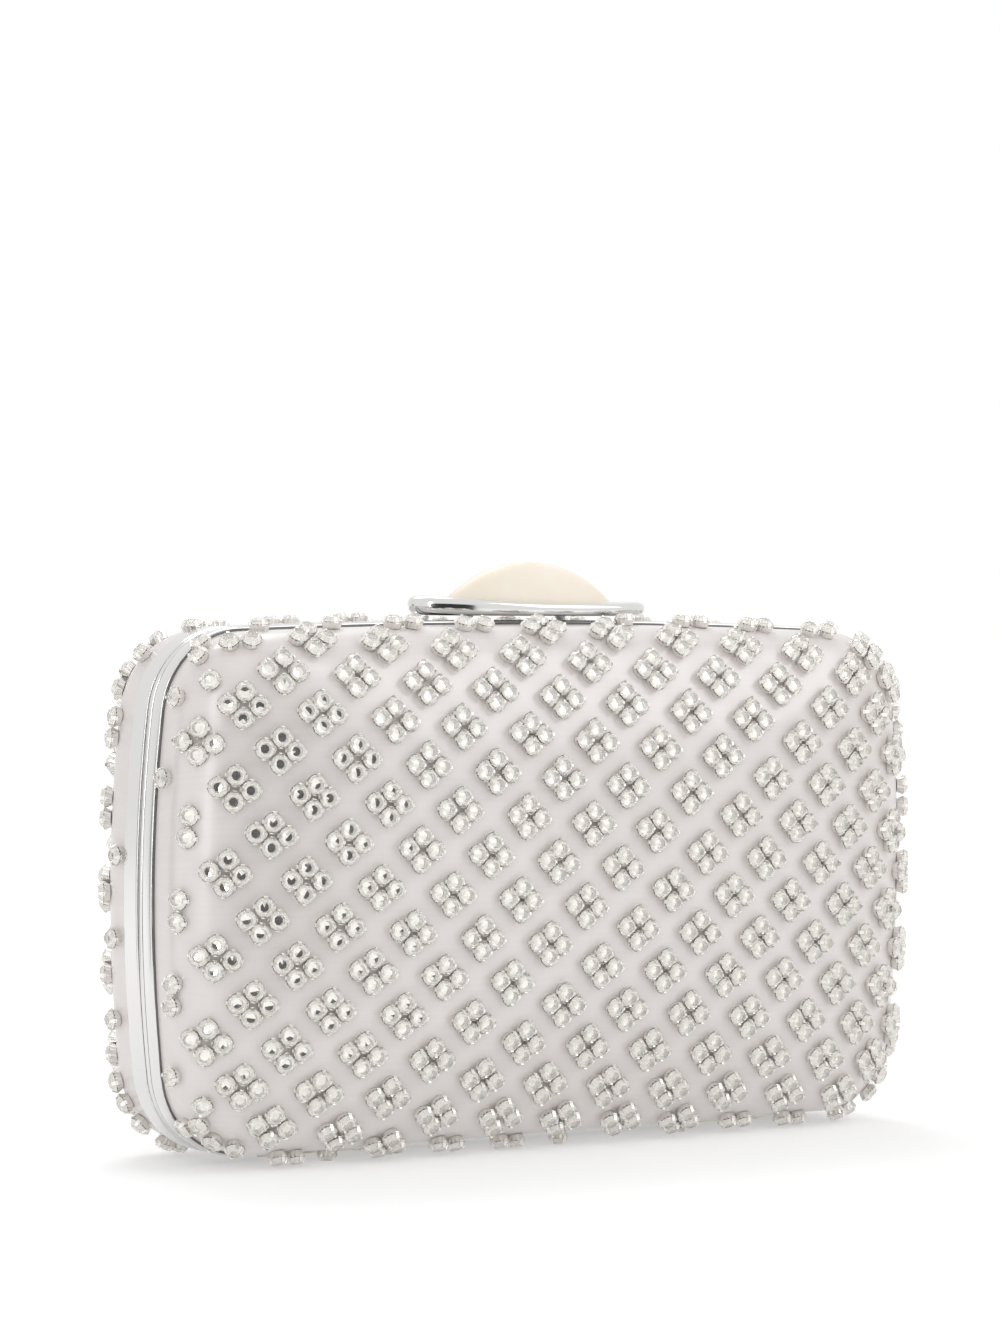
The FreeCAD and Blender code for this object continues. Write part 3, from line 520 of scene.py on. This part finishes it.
plated_brass = metal("plated_brass", (0.72, 0.69, 0.62), 0.2, 0.1)
steel = metal("hinge_steel", (0.58, 0.58, 0.59), 0.24, 0.1)
dress(plated_brass, "front_hinge_leaves", "back_hinge_leaves", "front_hinge_rivets", "back_hinge_rivets")
dress(steel, "hinge_pins")


# Claw cups
# Small silvered brass cups, one under each crystal, sewn and glued to the satin.
# Four claws rise from each cup and are bent in over the crystal's edge.

cup_foot_radius = 1.7 * MM
cup_height = 1.5 * MM
crystal_radius = 2.06 * MM
table_radius = 1.2 * MM
culet_radius = 0.95 * MM
crown_height = 1.0 * MM
pavilion_depth = 0.6 * MM
culet_drop = 0.07 * MM
stand = cup_height + crown_height
seat_radius = culet_radius + 0.06 * MM
seat_z = cup_height - pavilion_depth - culet_drop - 0.03 * MM
lip_room = 0.02 * MM
lip_draw = 0.26 * MM
lip_flute = 0.06 * MM
lip_rise = 0.16 * MM
lip_notch = 0.26 * MM
claw_inner = crystal_radius - 0.15 * MM
claw_outer = crystal_radius + 0.28 * MM
claw_foot_z = 1.2 * MM
claw_half_foot = 0.45 * MM
claw_half_tip = 0.30 * MM
tip_inner = 1.46 * MM
tip_inner_z = 2.16 * MM
tip_outer = 1.76 * MM
tip_outer_z = 2.42 * MM
grid_lean = math.radians(-6)
setting_lean = math.radians(2)
setting_shift = 0.09 * MM
facing_down = -0.9
point_grid = 0.001 * MM
squares_per_row = 32
square_pitch = 4.0


def solid_centres(names):
    """The middle of every separate solid in some nodes.

    Corners at one place are taken as one point, and points joined by a triangle take the lowest label among
    them, over and over, until each solid has one label of its own.
    """
    middles = []
    for name in names:
        mesh = nodes[name].data
        co = np.empty(len(mesh.vertices) * 3)
        mesh.vertices.foreach_get("co", co)
        corner = np.empty(len(mesh.loops), np.int32)
        mesh.loops.foreach_get("vertex_index", corner)
        rounded = np.round(co.reshape(-1, 3) / point_grid).astype(np.int64)
        spots, index = np.unique(rounded, axis=0, return_inverse=True)
        triangle = index.ravel()[corner].reshape(-1, 3)
        label = np.arange(len(spots))
        while True:
            lower = label.copy()
            np.minimum.at(lower, triangle.ravel(), np.repeat(label[triangle].min(axis=1), 3))
            lower = lower[lower]
            if (lower == label).all():
                break
            label = lower
        solid = np.unique(label, return_inverse=True)[1]
        count = np.bincount(solid)
        sums = [np.bincount(solid, spots[:, axis]) for axis in range(3)]
        middles.append(np.stack(sums, axis=1) / count[:, None] * point_grid)
    return np.concatenate(middles)


def settings(side, half):
    """Where each crystal of a half is set: the foot of its cup, and three directions, the last straight out.

    The way out runs from the middle of a cup to the middle of the crystal that sits in it. The other two are
    the front's right and up, leaning with the pattern and swung by the turn that brings the half's own
    direction to the way out, which takes from each its share along the sum of the two. Each setting then
    sits and leans a little its own way, as sewn ones do, but for those that the case stands on.
    """
    crystals = solid_centres([side + "_crystals", side + "_base_crystals"])
    cups = solid_centres([side + "_crystal_cups"])
    apart = np.linalg.norm(crystals[:, None] - cups[None], axis=2)
    out = crystals - cups[apart.argmin(axis=1)]
    out /= np.linalg.norm(out, axis=1, keepdims=True)
    facing = np.array([0.0, half, 0.0])
    both = out + facing
    lay = [np.array([-half * math.cos(grid_lean), 0.0, math.sin(grid_lean)])]
    lay.append(np.array([half * math.sin(grid_lean), 0.0, math.cos(grid_lean)]))
    right, up = (way - both * (out @ way / (1 + out @ facing))[:, None] for way in lay)
    foot = crystals - cup_height * out
    hand = np.random.default_rng(7)
    loose = out[:, 2:] > facing_down
    lean = hand.normal(0, setting_lean, (2, len(out), 1)) * loose
    shift = hand.normal(0, setting_shift, (2, len(out), 1)) * loose
    leaning = out + lean[0] * right + lean[1] * up
    foot += shift[0] * right + shift[1] * up
    return foot, right - lean[0] * out, up - lean[1] * out, leaning


def repeat_shape(name, shape, faces, places, turn, material):
    """One small shape set at every place: each corner is the foot plus its own share of the directions.

    The shape is first turned about its own upright axis by each place's angle. Every copy has its own square
    of the UV map, so that no two copies show the same part of a pattern.
    """
    foot, right, up, out = places
    cos = np.cos(turn)[:, None]
    sin = np.sin(turn)[:, None]
    x = shape[None, :, 0] * cos - shape[None, :, 1] * sin
    y = shape[None, :, 0] * sin + shape[None, :, 1] * cos
    z = np.broadcast_to(shape[None, :, 2], x.shape)
    points = foot[:, None] + x[..., None] * right[:, None] + y[..., None] * up[:, None]
    points += z[..., None] * out[:, None]
    corners = np.concatenate(faces)
    sizes = np.array([len(face) for face in faces])
    start = np.arange(len(foot))[:, None] * len(shape)
    all_corners = (corners[None] + start).ravel()
    piece = new_piece(name, points.reshape(-1, 3), all_corners, np.tile(sizes, len(foot)), material)
    number = np.arange(len(foot))
    square = np.stack([number % squares_per_row, number // squares_per_row], axis=1) * square_pitch
    spread = square[:, None] + shape[None, :, :2] / crystal_radius
    lay_pattern(piece, spread.reshape(-1, 2))
    piece.data.shade_flat()
    return piece


def ring_points(radius, z, count, start=0.0):
    """Points round the upright axis at one height."""
    turn = start + np.arange(count) * 2 * math.pi / count
    return np.stack([radius * np.cos(turn), radius * np.sin(turn), np.full(count, z)], axis=1)


def band_faces(low, high, count):
    """Four-sided faces between two rings of points, given the number of each ring's first point."""
    k = np.arange(count)
    after = (k + 1) % count
    return list(np.stack([low + k, low + after, high + after, high + k], axis=1))


def claw_cup():
    """A cup and its claws: a flared wall up to a wavy lip, a seat that narrows with the crystal, and claws.

    The lip is drawn out where a claw stands, by a power of the cosine of four times the angle, and goes up
    and down from one point to the next. Each of the four claws is a tapered block that leans in over the
    crystal.
    """
    sides = 32
    turn = np.arange(sides) * 2 * math.pi / sides
    drawn_out = (0.5 + 0.5 * np.cos(4 * turn)) ** 1.5
    wave = np.arange(sides) % 2
    lip = ring_points(1.0, 0.0, sides)
    lip[:, :2] *= (crystal_radius + lip_room + lip_draw * drawn_out + lip_flute * wave)[:, None]
    lip[:, 2] = cup_height + lip_rise * drawn_out - lip_notch * wave
    points = np.concatenate([
        ring_points(cup_foot_radius, 0.0, sides),
        lip,
        ring_points(seat_radius, seat_z, sides),
    ])
    faces = [np.arange(sides)[::-1], 2 * sides + np.arange(sides)]
    faces += band_faces(0, sides, sides)
    faces += band_faces(sides, 2 * sides, sides)
    claw = np.array([
        (claw_inner, -claw_half_foot, claw_foot_z),
        (claw_outer, -claw_half_foot, claw_foot_z),
        (claw_outer, claw_half_foot, claw_foot_z),
        (claw_inner, claw_half_foot, claw_foot_z),
        (tip_inner, -claw_half_tip, tip_inner_z),
        (tip_outer, -claw_half_tip, tip_outer_z),
        (tip_outer, claw_half_tip, tip_outer_z),
        (tip_inner, claw_half_tip, tip_inner_z),
    ])
    block = [(3, 2, 1, 0), (4, 5, 6, 7), (0, 1, 5, 4), (1, 2, 6, 5), (2, 3, 7, 6), (3, 0, 4, 7)]
    for quarter in range(4):
        cos = math.cos(quarter * math.pi / 2)
        sin = math.sin(quarter * math.pi / 2)
        turned = claw @ np.array([[cos, sin, 0.0], [-sin, cos, 0.0], [0.0, 0.0, 1.0]])
        faces += [np.array(face) + len(points) for face in block]
        points = np.concatenate([points, turned])
    return points, faces


silvered_brass = metal("silvered_brass", (0.88, 0.86, 0.83), 0.28, 0.14)
places_of = {side: settings(side, half) for half, side, body in halves}
for half, side, body in halves:
    places = places_of[side]
    cups = repeat_shape(side + "_claw_cups", *claw_cup(), places, np.zeros(len(places[0])), silvered_brass)
    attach(cups, body)
    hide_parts(side + "_crystal_cups")


# Crystals
# Round cut-glass stones with a silver foil on the back, about 4 mm across, each held in its claw cup.
# They are set in clusters of four, and the case stands on the lowest ones.

star_radius = 1.45 * MM
foil_facets = 8
culet_facets = 8


def brilliant():
    """A round cut of glass: an eight-sided table, then eight stars, eight kites and sixteen edge facets.

    A kite runs straight from a corner of the table to the edge, and the star points lie on its plane. Below
    the edge, eight foiled facets lead to eight flatter ones, which meet at the lowest point and come last.
    """
    eighth = math.pi / 4
    slope = crown_height / (crystal_radius - table_radius)
    star_z = stand - slope * (star_radius * math.cos(eighth / 2) - table_radius)
    points = np.concatenate([
        ring_points(table_radius, stand, 8),
        ring_points(star_radius, star_z, 8, eighth / 2),
        ring_points(crystal_radius, cup_height, 16),
        ring_points(culet_radius, cup_height - pavilion_depth, 8),
        [(0.0, 0.0, cup_height - pavilion_depth - culet_drop)],
    ])
    k = np.arange(8)
    after = (k + 1) % 8
    edge = 16 + 2 * k
    edge_middle = edge + 1
    edge_after = 16 + 2 * after
    star = 8 + k
    star_before = 8 + (k - 1) % 8
    base = 32 + k
    base_after = 32 + after
    lowest = np.full(8, 40)
    faces = [k]
    faces += list(np.stack([k, star, after], axis=1))
    faces += list(np.stack([k, star_before, edge, star], axis=1))
    faces += list(np.stack([star, edge, edge_middle], axis=1))
    faces += list(np.stack([star, edge_middle, edge_after], axis=1))
    faces += list(np.stack([base, base_after, edge_after, edge_middle, edge], axis=1))
    faces += list(np.stack([base_after, base, lowest], axis=1))
    return points, faces


def stone_noise(material, scale, detail):
    """Noise over a stone's own square of the UV map."""
    square = add(material, "ShaderNodeUVMap", {}, uv_map="cloth").outputs["UV"]
    noise = add(material, "ShaderNodeTexNoise", {"Vector": square, "Scale": scale, "Detail": detail})
    return noise.outputs["Fac"]


cut_glass = finish("cut_glass", {"Roughness": 0.0, "IOR": 1.33, "Transmission Weight": 0.94})
plug(cut_glass, "Base Color", ramp(cut_glass, stone_noise(cut_glass, 0.35, 1.0), [
    (0.30, (1.0, 0.975, 0.96)),
    (0.50, (1.0, 0.99, 0.975)),
    (0.70, (0.99, 0.99, 0.975)),
]))
# The darker first stop of the crown colour paints small grey specks into the stones, a painted reflection of
# dark surroundings in their facets.
crown_glass = finish("crown_glass", {"Roughness": 0.05, "IOR": 1.33, "Transmission Weight": 0.5})
plug(crown_glass, "Base Color", ramp(crown_glass, stone_noise(crown_glass, 4.5, 3.0), [
    (0.30, (0.78, 0.745, 0.695)),
    (0.42, (0.985, 0.96, 0.92)),
    (0.70, (0.99, 0.975, 0.945)),
]))
# The darker first stop of the foil colour paints the same grey specks, a painted reflection in the facets.
silver_foil = finish("silver_foil", {"Metallic": 0.15, "Roughness": 0.25})
plug(silver_foil, "Base Color", ramp(silver_foil, stone_noise(silver_foil, 4.5, 3.0), [
    (0.30, (0.74, 0.715, 0.68)),
    (0.40, (0.985, 0.965, 0.93)),
    (0.70, (1.0, 0.985, 0.96)),
]))
mirror_foil = finish("mirror_foil", {"Metallic": 1.0})
ripple = stone_noise(mirror_foil, 2.0, 2.0)
plug(mirror_foil, "Base Color", ramp(mirror_foil, ripple, [
    (0.35, (0.84, 0.82, 0.785)),
    (0.60, (0.90, 0.885, 0.855)),
]))
plug(mirror_foil, "Roughness", ramp(mirror_foil, ripple, [
    (0.3, grey(0.03)),
    (0.7, grey(0.10)),
]))

stone_turns = np.random.default_rng(16)
for half, side, body in halves:
    places = places_of[side]
    turn = stone_turns.uniform(0, math.pi / 4, len(places[0]))
    points, faces = brilliant()
    crystals = repeat_shape(side + "_cut_crystals", points, faces, places, turn, cut_glass)
    for surface in (crown_glass, silver_foil, mirror_foil):
        crystals.data.materials.append(surface)
    coat = np.ones(len(faces), np.int32)
    coat[0] = 0
    coat[-culet_facets - foil_facets:] = 2
    coat[-culet_facets:] = 3
    crystals.data.polygons.foreach_set("material_index", np.tile(coat, len(turn)))
    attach(crystals, body)
    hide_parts(side + "_crystals", side + "_base_crystals")


# Clasp ring
# A sculpted oval of polished cast metal, thicker and taller at its ends, that frames the stone on top.
# Two stems under it pass into the back half, so that the whole ring is the push button.

ring_z = 112.3 * MM
clasp_shift = 1.5 * MM
ring_half_length = 30 * MM
ring_half_width = 10 * MM
bore_half_length = 22.1 * MM
bore_half_width = 7.3 * MM
ring_middle_height = 2.6 * MM
ring_saddle_radius = 383 * MM
ring_saddle_shift = 8 * MM
ring_softness = 2.6
ring_columns = 160
ring_rows = 40


def signed_power(value, power):
    """A power that keeps its sign."""
    return np.sign(value) * np.abs(value) ** power


def clasp_ring():
    """A rounded section carried round the oval between its bore and its rim.

    The section is a superellipse, as wide as the bore and rim are apart. It is as tall as the saddle line,
    which is lowest to the right of the middle and highest at the left end.
    """
    turn = np.linspace(0, 2 * math.pi, ring_columns, endpoint=False)[None, :]
    swing = np.linspace(0, 2 * math.pi, ring_rows, endpoint=False)[:, None]
    across = 0.5 + 0.5 * signed_power(np.cos(swing), 2 / ring_softness)
    up = 0.5 + 0.5 * signed_power(np.sin(swing), 2 / ring_softness)
    x = (bore_half_length + (ring_half_length - bore_half_length) * across) * np.cos(turn)
    y = (bore_half_width + (ring_half_width - bore_half_width) * across) * np.sin(turn)
    height = ring_middle_height + (x - ring_saddle_shift) ** 2 / (2 * ring_saddle_radius)
    z = ring_z + height * up
    points = np.stack([x + clasp_shift, y, z], axis=-1)
    corners, sizes = grid_faces(*points.shape[:2], close_rows=True)
    return new_piece("clasp_ring_body", points.reshape(-1, 3), corners, sizes, chrome, (0, 0, ring_z))


ring = clasp_ring()
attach(ring, "button")
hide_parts("clasp_ring")
dress(plated_brass, "clasp_seat")


# Cabochon
# A tall oval dome of ivory glass, ground to shape and polished all over.
# It is cemented to the seat inside the ring, and goes down with the button.

ivory = finish("ivory_glass", {
    "Roughness": 0.5,
    "Specular IOR Level": 0.4,
    "Subsurface Weight": 0.25,
    "Subsurface Scale": 2.0 * MM,
    "Coat Weight": 0.12,
    "Coat Roughness": 0.12,
})
stone_place = add(ivory, "ShaderNodeTexCoord", {}).outputs["Object"]
cloud = add(ivory, "ShaderNodeTexNoise", {"Vector": stone_place, "Scale": 70.0, "Detail": 3.0})
plug(ivory, "Base Color", ramp(ivory, cloud.outputs["Fac"], [
    (0.30, (0.795, 0.715, 0.595)),
    (0.55, (0.815, 0.745, 0.64)),
    (0.80, (0.835, 0.78, 0.69)),
]))
dress(ivory, "cabochon")


# Latch
# Under the top of the back half: bushings guide the button's stems, whose bar presses a steel leaf spring.
# The spring's hook holds a plate that is riveted inside the front frame.

leaf_half_width = 9 * MM
leaf_low = 102.1 * MM
leaf_top = 102.5 * MM
hook_top = 105.3 * MM
hook_front = -3.2 * MM
hook_back = -2.8 * MM
block_front = 6.1 * MM
block_back = 10.1 * MM
bar_back = 4.7 * MM


def leaf_spring():
    """A flat strip that runs forward from its block and is bent up at the front into a hook.

    Its section, a rectangle, is carried along the strip, mitred at the bend. The rows lie close together
    between the block and the button's bar, where the strip gives way.
    """
    along = np.concatenate([
        np.linspace(block_back, block_front, 5)[:-1],
        np.linspace(block_front, bar_back, 13)[:-1],
        np.linspace(bar_back, hook_back, 9)[:-1],
    ])
    upper = [(y, leaf_top) for y in along] + [(hook_back, leaf_top), (hook_back, hook_top)]
    lower = [(y, leaf_low) for y in along] + [(hook_front, leaf_low), (hook_front, hook_top)]
    rows = len(upper)
    section = np.stack([upper, upper, lower, lower], axis=1)
    x = np.broadcast_to(leaf_half_width * np.array([-1, 1, 1, -1]), (rows, 4))
    points = np.concatenate([x[..., None], section], axis=2).reshape(-1, 3)
    corners, sizes = grid_faces(rows, 4)
    ends = np.concatenate([[3, 2, 1, 0], 4 * rows - 4 + np.arange(4)])
    corners = np.concatenate([corners, ends])
    sizes = np.concatenate([sizes, [4, 4]])
    return new_piece("latch_leaf_spring", points, corners, sizes, steel, (0, 0, leaf_low))


leaf = leaf_spring()
leaf.data.shade_flat()
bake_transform(leaf)
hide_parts("latch_spring")
dress(plated_brass, "stem_bushings", "latch_bar", "latch_block", "latch_rivets")
dress(plated_brass, "catch_plate", "catch_rivets")
dress(steel, "button_stems", "stem_clips")


# Floor, light and camera
# A white sweep under soft studio light: a broad key from the upper right, a tall strip on the left, and a
# lamp above the back that throws the shadow forward. Two dark cards, one beside the camera and one at the
# left, give the metal and the stones their dark lines.

image_width = 1000
image_height = 1334


def stage_plane(name, middle, toward, width, height, material):
    """A flat four-sided sheet that faces a direction."""
    face = Vector(toward).normalized()
    turn = face.to_track_quat("Z", "Y").to_matrix()
    signs = ((-1, -1), (1, -1), (1, 1), (-1, 1))
    points = [Vector(middle) + turn @ Vector((x * width / 2, y * height / 2, 0)) for x, y in signs]
    piece = new_piece(name, np.array(points), np.arange(4), np.array([4]), material)
    return piece


def glow_outwards(material, middle, distances, levels):
    """A sheet's own light, which goes from one level to another between two distances from a place on it."""
    spot = add(material, "ShaderNodeTexCoord", {}).outputs["Object"]
    away = add(material, "ShaderNodeVectorMath", {0: spot, 1: middle}, operation="DISTANCE")
    fade = add(material, "ShaderNodeMapRange", {
        "Value": away.outputs["Value"],
        "From Min": distances[0],
        "From Max": distances[1],
        "To Min": levels[0],
        "To Max": levels[1],
    })
    plug(material, "Emission Strength", fade.outputs["Result"])


white_sweep = finish("white_sweep", {
    "Base Color": (0.68, 0.68, 0.68, 1.0),
    "Roughness": 1.0,
    "Specular IOR Level": 0.0,
    "Emission Color": (1.0, 1.0, 1.0, 1.0),
})
glow_outwards(white_sweep, (0, 0, 0), (0.16, 0.5), (0.34, 0.45))
stage_plane("floor", (0, 0, 0), (0, 0, 1), 12.0, 12.0, white_sweep)

world = bpy.data.worlds.new("studio")
bpy.context.scene.world = world
world.use_nodes = True
world.node_tree.nodes["Background"].inputs["Color"].default_value = (0.84, 0.84, 0.84, 1.0)
bright = add(world, "ShaderNodeBackground", {"Color": (1.0, 1.0, 1.0, 1.0), "Strength": 1.0})
path = add(world, "ShaderNodeLightPath", {})
mirrored = add(world, "ShaderNodeMath", {
    0: path.outputs["Is Camera Ray"], 1: path.outputs["Is Glossy Ray"],
}, operation="MAXIMUM")
seen = add(world, "ShaderNodeMath", {
    0: mirrored.outputs["Value"], 1: path.outputs["Is Transmission Ray"],
}, operation="MAXIMUM")
choice = add(world, "ShaderNodeMixShader", {
    0: seen.outputs["Value"],
    1: world.node_tree.nodes["Background"].outputs["Background"],
    2: bright.outputs["Background"],
})
world.node_tree.links.new(choice.outputs["Shader"], world.node_tree.nodes["World Output"].inputs["Surface"])


def softbox(name, azimuth, elevation, distance, width, height, power):
    """A flat lamp aimed at the middle of the case, placed by its bearing from the front and its height."""
    bearing = math.radians(azimuth)
    climb = math.radians(elevation)
    way = Vector((
        math.sin(bearing) * math.cos(climb),
        -math.cos(bearing) * math.cos(climb),
        math.sin(climb),
    ))
    lamp = bpy.data.lights.new(name, "AREA")
    lamp.shape = "RECTANGLE"
    lamp.size = width
    lamp.size_y = height
    lamp.energy = power
    holder = bpy.data.objects.new(name, lamp)
    turn = way.to_track_quat("Z", "Y").to_matrix().to_4x4()
    holder.matrix_world = Matrix.Translation(Vector((0, 0, middle_z)) + way * distance) @ turn
    bpy.context.scene.collection.objects.link(holder)
    return holder


softbox("key_softbox", azimuth=50, elevation=35, distance=1.2, width=0.8, height=0.8, power=2.6)
softbox("left_strip", azimuth=-43, elevation=6, distance=1.0, width=0.07, height=0.9, power=1.5)
softbox("rear_softbox", azimuth=165, elevation=58, distance=1.2, width=0.6, height=0.6, power=5.0)

felt = {"Base Color": (0.03, 0.03, 0.03, 1.0), "Roughness": 1.0}
dark_felt = finish("dark_felt", felt)
front_place = (-0.140, -0.275, 0.092)
front_card = stage_plane("dark_card", front_place, (0, 1, 0), 0.28, 0.18, dark_felt)
soft_felt = finish("soft_felt", {**felt, "Emission Color": (1.0, 1.0, 1.0, 1.0)})
side_place = (-0.291, 0.155, 0.06)
glow_outwards(soft_felt, side_place, (0.04, 0.085), (0.0, 0.95))
side_card = stage_plane("side_card", side_place, (0.88, -0.47, 0), 0.18, 0.18, soft_felt)
for card in (front_card, side_card):
    card.visible_camera = False
    card.visible_diffuse = False
    card.visible_shadow = False

focal_pixels = 4300.0
camera_distance = 923.8 * MM
camera_yaw = math.radians(33.95)
camera_pitch = math.radians(1.10)
camera_roll = math.radians(0.41)
middle_pixel = (520.1, 875.2)
sensor = 36.0

forward = Vector((
    math.sin(camera_yaw) * math.cos(camera_pitch),
    math.cos(camera_yaw) * math.cos(camera_pitch),
    -math.sin(camera_pitch),
))
level = Vector((math.cos(camera_yaw), -math.sin(camera_yaw), 0.0))
above = level.cross(forward)
right = math.cos(camera_roll) * level + math.sin(camera_roll) * above
up = math.cos(camera_roll) * above - math.sin(camera_roll) * level
sight = (
    forward
    + right * (middle_pixel[0] - image_width / 2) / focal_pixels
    + up * (image_height / 2 - middle_pixel[1]) / focal_pixels
)
lens = bpy.data.cameras.new("camera")
lens.sensor_width = sensor
lens.lens = focal_pixels / image_height * sensor
camera = bpy.data.objects.new("camera", lens)
axes = Matrix((right, up, -forward)).transposed().to_4x4()
camera.matrix_world = Matrix.Translation(Vector((0, 0, middle_z)) - camera_distance * sight) @ axes
bpy.context.scene.collection.objects.link(camera)
bpy.context.scene.camera = camera
bpy.context.scene.view_settings.view_transform = "Standard"
